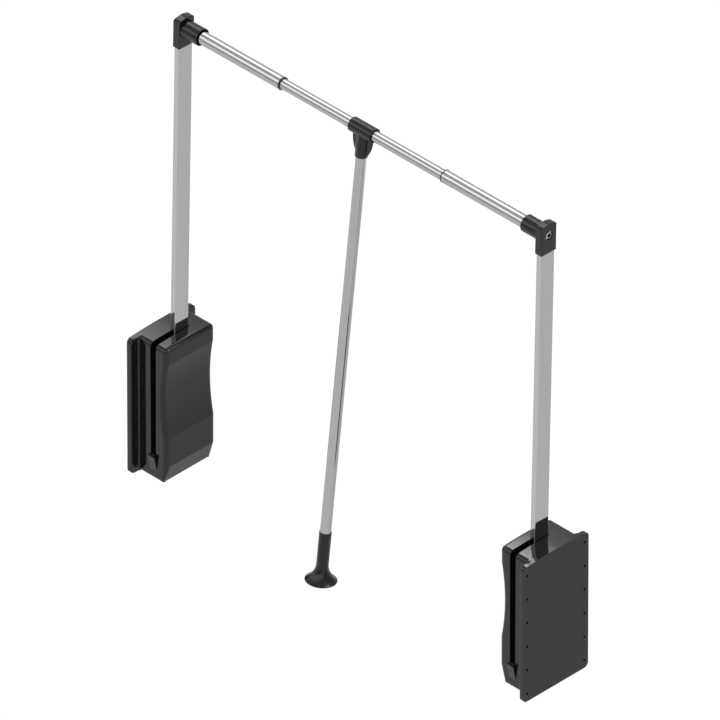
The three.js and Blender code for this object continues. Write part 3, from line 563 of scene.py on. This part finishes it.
def make_shell():
    """The slotted cover with its waist, crowned top, chamfer and lip."""
    shell = shell_body("housing_shell", 0, BASE_THICKNESS)
    combine(shell, shell_skirt(), "UNION")
    combine(shell, shell_body("hollow tool", SHELL_WALL, BASE_THICKNESS - OVERRUN))
    lip_level = HOUSING_BOTTOM + LIP_TOP
    near, far = SLOT_NEAR - CHANNEL_WALL, SLOT_FAR + CHANNEL_WALL
    inside, top = SHELL_FRONT - OVERRUN, HOUSING_TOP + OVERRUN
    deep = SHELL_FRONT + SHELL_WALL + CHANNEL_DEPTH
    channel = prism("channel", [(inside, lip_level - CHANNEL_WALL), (deep, lip_level - CHANNEL_WALL),
                                (deep, CHANNEL_LOW), (SLOT_REAR + CHANNEL_WALL, CHANNEL_LOW),
                                (SLOT_REAR + CHANNEL_WALL, top), (inside, top)], near, far)
    combine(channel, shell_body("channel limit", SHELL_WALL / 2, BASE_THICKNESS), "INTERSECT")
    combine(shell, channel, "UNION")
    lip_front, lip_back = SHELL_FRONT - LIP_REACH, SHELL_FRONT + SHELL_WALL / 2
    lip = prism("lip", [(lip_back, HOUSING_BOTTOM + LIP_BOTTOM), (SHELL_FRONT, HOUSING_BOTTOM + LIP_BOTTOM),
                        (lip_front, lip_level), (lip_back, lip_level)],
                ARM_PLANE - LIP_WIDTH / 2, ARM_PLANE + LIP_WIDTH / 2)
    rounded(lip, LIP_EDGE, 2, bends)
    combine(shell, lip, "UNION")
    combine(shell, block("slot tool", (SLOT_NEAR, SLOT_FAR), (lip_front - OVERRUN, SLOT_REAR),
                         (lip_level, HOUSING_TOP + OVERRUN)))

    def slot_edge(edge):
        """True for the slot's edges on the outer skin."""
        sides = all_at(edge, 0, SLOT_NEAR) or all_at(edge, 0, SLOT_FAR) or all_at(edge, 1, SLOT_REAR)
        inside = all(shell_inside(vert.co / MM) for vert in edge.verts)
        return sides and bends(edge, SLOT_BEND_DEGREES) and not inside

    return rounded(shell, SLOT_EDGE, 3, slot_edge)


def shell_skirt():
    """The concave foot where the shell's sides flare out to the wall plate."""
    seam = 0.05
    rings = []
    for i in range(CORNER_STEPS + 1):
        turn = math.radians(90 * i / CORNER_STEPS)
        x = BASE_THICKNESS + FILLET * (1 - math.cos(turn))
        outline = round_outline(SHELL_WIDTH, SHELL_EDGE, seam + FILLET * (1 - math.sin(turn)))
        rings.append([(x, y, z) for y, z in outline])
    count = len(rings[0])
    faces = [list(range(count)), list(range(count * (len(rings) - 1), count * len(rings)))]
    for k in range(len(rings) - 1):
        faces += [[k * count + i, k * count + (i + 1) % count, (k + 1) * count + (i + 1) % count,
                   (k + 1) * count + i] for i in range(count)]
    skirt = new_piece("skirt", [point for ring in rings for point in ring], faces)
    limit = prism("plate tool", round_outline(BASE_WIDTH, BASE_CORNER), 0, SHELL_DEPTH)
    return combine(skirt, limit, "INTERSECT")


def shell_inside(point):
    """True if a point lies on the hollow's wall rather than on the outer skin."""
    near = 0.2
    side = SHELL_WIDTH / 2 - SHELL_WALL
    return abs(point.y - HOUSING_CENTRE) < side + near and point.z < HOUSING_TOP - SHELL_WALL


def make_base():
    """The wall plate with rounded ears and a row of screw holes along each."""
    ear = SHELL_WIDTH / 2 + FILLET
    base = prism("wall_base", round_outline(BASE_WIDTH, BASE_CORNER, split=ear), 0, BASE_THICKNESS)

    def ear_edge(edge):
        """True for the room side's edges of the ears beside the shell."""
        beside = all(abs(vert.co.y / MM - HOUSING_CENTRE) > ear - EAR_MARGIN for vert in edge.verts)
        return beside and bends(edge) and all_at(edge, 0, BASE_THICKNESS)

    rounded(base, EAR_EDGE, 5, ear_edge)
    radius, sink = HOLE_DIAMETER / 2, BASE_THICKNESS - HOLE_SINK
    outline = [(0, -OVERRUN), (radius, -OVERRUN), (radius, sink), (radius + OVERRUN, sink + OVERRUN),
               (0, sink + OVERRUN)]
    for row in range(HOLE_ROWS):
        for side in (-1, 1):
            y = HOUSING_CENTRE + side * (BASE_WIDTH / 2 - HOLE_FROM_SIDE)
            z = HOUSING_BOTTOM + HOLE_FROM_BOTTOM + row * HOLE_PITCH
            hole = lathe("hole tool", outline, "X", HOLE_SEGMENTS)
            hole.data.transform(Matrix.Translation((0, y * MM, z * MM)))
            combine(base, hole)
    return base


CREASES = [HOUSING_BOTTOM + level for level in (CHAMFER_HEIGHT, WAIST_BOTTOM, WAIST_TOP)]
both_sides(make_shell(), GLOSS_BLACK, "housing", "housing_shell", creases=CREASES)
both_sides(make_base(), GLOSS_BLACK, "housing", "wall_base")


# Arms

ARM_TURN = Matrix.Rotation(-LEAN_BACK, 4, "X")
ONTO_RAIL = ARM_TURN @ Matrix.Translation((0, 0, ARM_RADIUS * MM))


def on_rail(piece):
    """Moves a piece made about the X axis onto the rail's axis."""
    piece.data.transform(ONTO_RAIL)
    return piece


def round_rect(half_wide, half_high, radius):
    """A rectangle with rounded corners, as points."""
    u, v = half_wide - radius, half_high - radius
    corners = ((u, v, 0), (-u, v, 90), (-u, -v, 180), (u, -v, 270))
    return [point for x, y, turn in corners for point in arc(x, y, radius, turn, turn + 90, QUARTER_STEPS)]


def make_arm():
    """The flat arm tube, open at both ends."""
    outer = round_rect(ARM_THICKNESS / 2, ARM_WIDTH / 2, ARM_EDGE)
    inner = round_rect(ARM_THICKNESS / 2 - ARM_WALL, ARM_WIDTH / 2 - ARM_WALL, ARM_EDGE / 2)
    low, high = ARM_START, ARM_RADIUS + ARM_PAST_RAIL
    count = len(outer)
    verts = [(ARM_PLANE + u, v, z) for ring in (outer, inner) for z in (low, high) for u, v in ring]
    faces = []
    for i in range(count):
        j = (i + 1) % count
        faces += [[i, j, count + j, count + i],
                  [2 * count + i, 3 * count + i, 3 * count + j, 2 * count + j],
                  [i, 2 * count + i, 2 * count + j, j],
                  [count + i, count + j, 3 * count + j, 3 * count + i]]
    arm = new_piece("arm_tube", verts, faces)
    arm.data.transform(ARM_TURN)
    return arm


PLATE_OUTER = ARM_PLANE - BRACKET_THICKNESS / 2
PLATE_INNER = ARM_PLANE + BRACKET_THICKNESS / 2
BOLT_SEAT = ARM_PLANE - ARM_THICKNESS / 2


def make_bracket():
    """The arched plate with its socket, its pocket for the arm and the bolt's recess."""
    half = BRACKET_WIDTH / 2
    radius = (half ** 2 + BRACKET_ARCH ** 2) / (2 * BRACKET_ARCH)
    centre = BRACKET_ABOVE + BRACKET_ARCH - radius
    turn = math.degrees(math.atan2(BRACKET_ABOVE - centre, half))
    outline = [(-half, -BRACKET_BELOW), (half, -BRACKET_BELOW)]
    outline += arc(0, centre, radius, turn, 180 - turn, ARCH_STEPS)
    plate = prism("end_bracket", outline, PLATE_OUTER, PLATE_INNER)
    rounded(plate, BRACKET_EDGE, 4, bends)
    end = PLATE_INNER + SOCKET_LENGTH
    outer, mouth, bore = SOCKET_DIAMETER / 2, SOCKET_MOUTH / 2, SOCKET_BORE / 2
    step = end - SOCKET_MOUTH_DEPTH
    rim = arc(outer - SOCKET_EDGE, end - SOCKET_EDGE, SOCKET_EDGE, 0, 90, QUARTER_STEPS)
    floor = PLATE_INNER + SOCKET_FLOOR
    socket = lathe("socket", [(0, ARM_PLANE), (outer, ARM_PLANE)] + rim
                   + [(mouth, end), (mouth, step), (bore, step), (bore, floor), (0, floor)], "X")
    combine(plate, socket, "UNION")
    pocket_half, pocket_end = ARM_WIDTH / 2 + CLEARANCE, ARM_PLANE + ARM_THICKNESS / 2 + CLEARANCE
    combine(plate, block("arm pocket tool", (BOLT_SEAT - CLEARANCE, pocket_end), (-pocket_half, pocket_half),
                         (-BRACKET_BELOW - OVERRUN, ARM_PAST_RAIL + CLEARANCE)))
    recess, before = RECESS_DIAMETER / 2, PLATE_OUTER - OVERRUN
    combine(plate, lathe("recess tool", [(0, before), (recess + OVERRUN, before),
                                         (recess + RECESS_EDGE, PLATE_OUTER),
                                         (recess, PLATE_OUTER + RECESS_EDGE),
                                         (recess, BOLT_SEAT), (0, BOLT_SEAT)], "X"))
    return on_rail(plate)


def make_bolt():
    """The bolt's domed head with its hexagonal socket."""
    face = BOLT_SEAT - BOLT_HEAD_HEIGHT
    radius, flat = BOLT_HEAD / 2, BOLT_FACE / 2
    rise = BOLT_HEAD_HEIGHT - BOLT_RIM
    dome = [(flat + (radius - flat) * math.sin(t), BOLT_SEAT - BOLT_RIM - rise * math.cos(t))
            for t in (math.radians(90 * i / DOME_STEPS) for i in range(DOME_STEPS + 1))]
    shank, tip = BOLT_SHANK / 2, BOLT_SEAT + BOLT_LENGTH
    bolt = lathe("bracket_bolt", [(0, face), *dome, (radius, BOLT_SEAT), (shank, BOLT_SEAT),
                                  (shank, tip), (0, tip)], "X")
    corner = HEX_ACROSS_FLATS / math.sqrt(3)
    hexagon = lathe("hex tool", [(0, face - HEX_DEPTH), (corner, face - HEX_DEPTH),
                                 (corner, face + HEX_DEPTH), (0, face + HEX_DEPTH)], "X", 6)
    combine(bolt, hexagon)
    bolt.data.materials.append(BOLT_STEEL)
    bolt.data.materials.append(SOCKET_PAINTED_SHADE)
    # Faces inside the hex socket take the near-black material: painted shade in the recess
    just_below = 0.01
    for polygon in bolt.data.polygons:
        centre = polygon.center / MM
        within = math.hypot(centre.y, centre.z) < corner and centre.x > face + just_below
        polygon.material_index = 1 if within and centre.x < BOLT_SEAT else 0
    return on_rail(bolt)


both_sides(make_arm(), ARM_STEEL, "arm", "arm_tube")
both_sides(make_bracket(), GLOSS_BLACK, "arm", "end_bracket")
both_sides(make_bolt(), BOLT_STEEL, "arm", "bracket_bolt")
both_sides(on_rail(tube("outer_tube", OUTER_TUBE, OUTER_BORE, PLATE_INNER + SOCKET_FLOOR, OUTER_REACH)),
           RAIL_CHROME, "arm", "outer_tube")
both_sides(on_rail(tube("mouth_ring", RING_DIAMETER, INNER_TUBE + CLEARANCE, OUTER_REACH,
                        OUTER_REACH + RING_LENGTH)), SATIN_BLACK, "arm", "mouth_ring")


# Rail centre and pull rod

finished(on_rail(tube("inner_tube_look", INNER_TUBE, INNER_BORE, INNER_START, WALL_TO_WALL - INNER_START)),
         RAIL_CHROME, "rail_centre", "inner_tube")

RAIL_CENTRE = ONTO_RAIL.translation + Vector((CENTRE * MM, 0, 0))
HANGING = Matrix.Translation(RAIL_CENTRE) @ Matrix.Rotation(-ROD_LEAN, 4, "X")


def hung(piece):
    """Moves a piece made about the Z axis onto the pull rod's axis, below the rail."""
    piece.data.transform(HANGING)
    return piece


def make_tee():
    """The sleeve on the rail with its collar and two fins."""
    half, outer = SLEEVE_LENGTH / 2, SLEEVE_DIAMETER / 2
    bore = INNER_TUBE / 2 + CLEARANCE
    left = arc(outer - SLEEVE_EDGE, SLEEVE_EDGE - half, SLEEVE_EDGE, -90, 0, QUARTER_STEPS)
    right = [(radius, -height) for radius, height in reversed(left)]
    tee = lathe("tee_piece_look", [(0, -half), *left, *right, (0, half)], "X")
    stem = STEM_DIAMETER / 2
    foot = arc(stem - STEM_EDGE, STEM_EDGE - STEM_LENGTH, STEM_EDGE, -90, 0, QUARTER_STEPS)
    combine(tee, lathe("stem", [(0, -STEM_LENGTH), *foot, (stem, 0), (0, 0)]), "UNION")
    drop = WEB_BOTTOM - WEB_TOP
    outline = [(0, -WEB_TOP / 2)]
    outline += [(WEB_HALF_SPAN * math.cos(t), -WEB_TOP - drop * math.sin(t))
                for t in (math.pi * i / WEB_STEPS for i in range(WEB_STEPS + 1))]
    webs = prism("webs", outline, -WEB_THICKNESS / 2, WEB_THICKNESS / 2, "Y")
    rounded(webs, WEB_EDGE, 3, lambda edge: bends(edge, WEB_BEND_DEGREES))
    combine(tee, webs, "UNION")
    mouth, deep, far = SLEEVE_MOUTH / 2, half - SLEEVE_MOUTH_DEPTH, half + OVERRUN
    combine(tee, lathe("bore tool", [(0, -far), (mouth, -far), (mouth, -deep), (bore, -deep), (bore, deep),
                                     (mouth, deep), (mouth, far), (0, far)], "X"))
    rod, below, end = (ROD_DIAMETER + CLEARANCE) / 2, -STEM_LENGTH - OVERRUN, CLEARANCE - ROD_TOP
    combine(tee, lathe("rod bore tool", [(0, below), (rod, below), (rod, end), (0, end)]))
    return tee


def make_foot():
    """The flared foot with its thin rounded rim and dished underside."""
    top = FOOT_LENGTH - FOOT_END
    neck_end = FOOT_FLARE - FOOT_END
    rim = FOOT_RIM - FOOT_END
    neck, disc = FOOT_NECK / 2, FOOT_DISC / 2
    rim_round = FOOT_RIM / 2
    edge = disc - rim_round
    profile = [(0, FOOT_DISH - FOOT_END), (disc - 3 * FOOT_RIM, FOOT_DISH - FOOT_END),
               (disc - 2 * FOOT_RIM, -FOOT_END)]
    profile += arc(edge, rim_round - FOOT_END, rim_round, -90, 75, RIM_STEPS)
    for i in range(1, FLARE_STEPS + 1):
        share = 1 - i / FLARE_STEPS
        radius = neck + (edge - neck) * share ** FOOT_FLARE_POWER
        profile.append((radius, neck_end - (neck_end - rim) * share))
    bore, bottom = (ROD_DIAMETER + CLEARANCE) / 2, -ROD_BOTTOM - CLEARANCE
    profile += [(FOOT_TOP / 2, top - FOOT_LIP), (FOOT_TOP / 2 - FOOT_LIP, top), (bore, top),
                (bore, bottom), (0, bottom)]
    return lathe("foot_grip_look", profile)


finished(hung(make_tee()), GLOSS_BLACK, "pull_handle", "tee_piece")
finished(hung(tube("pull_rod_look", ROD_DIAMETER, ROD_BORE, -ROD_BOTTOM, -ROD_TOP, "Z")), ROD_STEEL,
         "pull_handle", "pull_rod")
finished(hung(make_foot()), SOFT_BLACK, "pull_handle", "foot_grip", angle=FOOT_SHARP_ANGLE)


# CAD nodes that stay: the works inside the housings and the plugs in the outer tubes
INSIDE = (
    (ZINC_STEEL, ("chassis_plate", "cheek_plate", "spacer_post_1", "spacer_post_2", "spacer_post_3",
                  "chassis_screw_1", "chassis_screw_2", "strut_pin", "arm_root")),
    (DARK_STEEL, ("pivot_shaft", "shaft_circlip", "strut_cylinder", "crank_pin")),
    (RAIL_CHROME, ("strut_rod",)),
    (BRONZE, ("hub_bush_inner", "hub_bush_outer")),
    (SATIN_BLACK, ("strut_carriage", "tube_plug")),
    (RUBBER, ("up_buffer", "rest_pad")),
)
for look, names in INSIDE:
    for side in ("left", "right"):
        for name in names:
            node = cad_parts[f"{side}_{name}"]
            for slot in node.material_slots:
                slot.material = look


# Floor, light and camera, in metres

WHITE = (1, 1, 1, 1)


def bare_tree(owner):
    """The emptied node tree of a material or world."""
    owner.use_nodes = True
    owner.node_tree.nodes.clear()
    return owner.node_tree


def combined(tree, operation, first, second):
    """What the operation makes of two outputs."""
    result = tree.nodes.new("ShaderNodeMath")
    result.operation = operation
    tree.links.new(first, result.inputs[0])
    tree.links.new(second, result.inputs[1])
    return result.outputs[0]


def mixed(tree, share, first, second):
    """The first shader, changed into the second by the share."""
    mix = tree.nodes.new("ShaderNodeMixShader")
    tree.links.new(share, mix.inputs["Fac"])
    tree.links.new(first, mix.inputs[1])
    tree.links.new(second, mix.inputs[2])
    return mix.outputs[0]


def along(tree, place, axis):
    """One of the three coordinates of a place."""
    parts = tree.nodes.new("ShaderNodeSeparateXYZ")
    tree.links.new(place, parts.inputs[0])
    return parts.outputs[axis]


def light_path_share(tree):
    """1 for camera, glossy and transmission rays, else 0."""
    rays = tree.nodes.new("ShaderNodeLightPath").outputs
    seen = combined(tree, "MAXIMUM", rays["Is Camera Ray"], rays["Is Glossy Ray"])
    return combined(tree, "MAXIMUM", seen, rays["Is Transmission Ray"])


FLOOR_LEVEL = -0.6
FLOOR_HALF = 7
FLOOR_COLOUR = (0.95, 0.95, 0.95, 1)
FLOOR_GLOW_SHARE = 0.85

# What gloss sees of the floor: its level from the front to the back, and a dim place with its reach
FLOOR_ALONG_Y = (-0.6, 0.5)
FLOOR_LEVELS = (0.9, 0.735)
FLOOR_DIM_PLACE = (0.45, 0.4, 0)
FLOOR_DIM_REACH = (0, 0.75)
FLOOR_DIM_SHARES = (0.68, 1)


def floor_level(tree):
    """1 for the camera, and for gloss a level that falls off gently round the dim place."""
    place = object_place(tree)
    away = tree.nodes.new("ShaderNodeVectorMath")
    away.operation = "DISTANCE"
    away.inputs[1].default_value = FLOOR_DIM_PLACE
    tree.links.new(place, away.inputs[0])
    level = combined(tree, "MULTIPLY", mapped(tree, along(tree, place, "Y"), FLOOR_ALONG_Y, FLOOR_LEVELS),
                     mapped(tree, away.outputs["Value"], FLOOR_DIM_REACH, FLOOR_DIM_SHARES))
    path = tree.nodes.new("ShaderNodeLightPath")
    mix = tree.nodes.new("ShaderNodeMix")
    mix.inputs["A"].default_value = 1
    tree.links.new(path.outputs["Is Glossy Ray"], mix.inputs["Factor"])
    tree.links.new(level, mix.inputs["B"])
    return mix.outputs["Result"]


def make_floor():
    """A pale floor, white in view, clear from below."""
    mesh = bpy.data.meshes.new("floor")
    corners = ((-1, -1), (1, -1), (1, 1), (-1, 1))
    mesh.from_pydata([(FLOOR_HALF * x, FLOOR_HALF * y, FLOOR_LEVEL) for x, y in corners], [], [(0, 1, 2, 3)])
    floor = placed("floor", mesh)
    material = bpy.data.materials.new("pale floor")
    tree = bare_tree(material)
    diffuse = tree.nodes.new("ShaderNodeBsdfDiffuse")
    diffuse.inputs["Color"].default_value = FLOOR_COLOUR
    glow = tree.nodes.new("ShaderNodeEmission")
    tree.links.new(floor_level(tree), glow.inputs["Strength"])
    clear = tree.nodes.new("ShaderNodeBsdfTransparent")
    geometry = tree.nodes.new("ShaderNodeNewGeometry")
    share = tree.nodes.new("ShaderNodeMath")
    share.operation = "MULTIPLY"
    share.inputs[1].default_value = FLOOR_GLOW_SHARE
    tree.links.new(light_path_share(tree), share.inputs[0])
    front = mixed(tree, share.outputs[0], diffuse.outputs[0], glow.outputs[0])
    sided = mixed(tree, geometry.outputs["Backfacing"], front, clear.outputs[0])
    output = tree.nodes.new("ShaderNodeOutputMaterial")
    tree.links.new(sided, output.inputs["Surface"])
    mesh.materials.append(material)


WORLD_FILL = 0.7


def make_world():
    """White for what the camera and mirrors see, and a plain fill for the rest."""
    world = bpy.data.worlds.new("studio")
    tree = bare_tree(world)
    levels = []
    for strength in (WORLD_FILL, 1):
        background = tree.nodes.new("ShaderNodeBackground")
        background.inputs["Strength"].default_value = strength
        background.inputs["Color"].default_value = WHITE
        levels.append(background.outputs[0])
    output = tree.nodes.new("ShaderNodeOutputWorld")
    tree.links.new(mixed(tree, light_path_share(tree), *levels), output.inputs["Surface"])
    bpy.context.scene.world = world


# Around the object: two long soft boxes above, and bent cards that only gloss sees.
# Angles are round the X axis, from the back over the top.
RIG_CENTRE = Vector((0.44, 0.0, 0.4))
RIG_RADIUS = 3.2
RIG_HALF = 8

# Each soft box's first and last angle and its level
SOFT_BOXES = {"soft box back": (40, 82, 1.5), "soft box front": (123, 154, 1.5)}

# Each card's first and last angle, the level at each, and where it starts and ends along X
CARD_RADIUS = 6
CARD_STEPS = 8
CARD_SPLIT = 0.4
CARDS = {
    "card horizon back": (-7, 52, 0.62, 0.95, -RIG_HALF, CARD_SPLIT),
    "card strip back": (52, 82, 2.8, 3.3, -RIG_HALF, CARD_SPLIT),
    "card shade": (-7, 82, 0.46, 0.46, CARD_SPLIT, RIG_HALF),
    "card top": (82, 128, 0.7, 0.7, -RIG_HALF, RIG_HALF),
    "card strip front": (128, 159, 1.9, 1.9, -RIG_HALF, RIG_HALF),
    "card horizon front": (159, 203, 0.58, 0.58, -RIG_HALF, RIG_HALF),
}

# Two small cards behind each housing, meant for its roof
ROOF_CARD_RADIUS = 0.32
LEFT_ROOF_ALONG_X = (-0.45, 0.05)
RIGHT_ROOF_ALONG_X = (0.43, 0.88)
ROOF_CARDS = {
    "card roof back left": (-7, 14.5, 0.65, 1.3, *LEFT_ROOF_ALONG_X),
    "card roof front left": (14.5, 52, 1.4, 4.6, *LEFT_ROOF_ALONG_X),
    "card roof back right": (-7, 14.5, 0.75, 1.5, *RIGHT_ROOF_ALONG_X),
    "card roof front right": (14.5, 52, 1.5, 10.5, *RIGHT_ROOF_ALONG_X),
}


def rig_point(degrees, radius):
    """The place at this angle and radius round the rig's centre."""
    turn = math.radians(degrees)
    return RIG_CENTRE + Vector((0, radius * math.cos(turn), radius * math.sin(turn)))


def make_soft_box(name, start, end, level):
    """An area lamp that spans the angles, facing the object."""
    half_turn = math.radians(end - start) / 2
    width = 2 * RIG_RADIUS * math.sin(half_turn)
    length = 2 * RIG_HALF
    lamp = bpy.data.lights.new(name, "AREA")
    lamp.shape = "RECTANGLE"
    lamp.size = length
    lamp.size_y = width
    lamp.energy = level * math.pi * width * length
    box = placed(name, lamp)
    middle = (start + end) / 2
    box.location = rig_point(middle, RIG_RADIUS * math.cos(half_turn))
    box.rotation_euler = (math.radians(middle - 90), 0, 0)
    box.visible_camera = False
    box.visible_glossy = False


def make_card(name, start, end, first, last, low_x, high_x, radius=CARD_RADIUS):
    """A bent card that only mirrors and gloss see, with its level graded by height."""
    verts = []
    for i in range(CARD_STEPS + 1):
        point = rig_point(start + (end - start) * i / CARD_STEPS, radius)
        verts += [(low_x, point.y, point.z), (high_x, point.y, point.z)]
    faces = [(2 * i, 2 * i + 1, 2 * i + 3, 2 * i + 2) for i in range(CARD_STEPS)]
    mesh = bpy.data.meshes.new(name)
    mesh.from_pydata(verts, [], faces)
    card = placed(name, mesh)
    material = bpy.data.materials.new(name)
    tree = bare_tree(material)
    height = along(tree, object_place(tree), "Z")
    glow = tree.nodes.new("ShaderNodeEmission")
    tree.links.new(mapped(tree, height, (verts[0][2], verts[-1][2]), (first, last)), glow.inputs["Strength"])
    output = tree.nodes.new("ShaderNodeOutputMaterial")
    tree.links.new(glow.outputs[0], output.inputs["Surface"])
    mesh.materials.append(material)
    card.visible_camera = False
    card.visible_diffuse = False
    card.visible_transmission = False
    card.visible_volume_scatter = False
    card.visible_shadow = False


make_floor()
make_world()
for box_name, box_span in SOFT_BOXES.items():
    make_soft_box(box_name, *box_span)
for card_name, card_shape in CARDS.items():
    make_card(card_name, *card_shape)
for card_name, card_shape in ROOF_CARDS.items():
    make_card(card_name, *card_shape, ROOF_CARD_RADIUS)

# The photograph is an isometric view, so the camera stands far off with a long lens
VIEW_WIDTH = 1.125
LENS = 1600
SENSOR_WIDTH = 36
NEAR_CLIP = 1
FAR_CLIP = 200
AIM = Vector((0.4395, 0.0074, 0.325))
AZIMUTH = math.radians(45)
ELEVATION = math.radians(35.264)
camera_data = bpy.data.cameras.new("camera")
camera_data.sensor_width = SENSOR_WIDTH
camera_data.lens = LENS
camera_data.clip_start = NEAR_CLIP
camera_data.clip_end = FAR_CLIP
camera = placed("camera", camera_data)
back = Vector((math.sin(AZIMUTH) * math.cos(ELEVATION), -math.cos(AZIMUTH) * math.cos(ELEVATION),
               math.sin(ELEVATION)))
camera.location = AIM + back * (VIEW_WIDTH * LENS / SENSOR_WIDTH)
camera.rotation_mode = "QUATERNION"
camera.rotation_quaternion = (-back).to_track_quat("-Z", "Y")
bpy.context.scene.camera = camera
bpy.context.scene.view_settings.view_transform = "Standard"
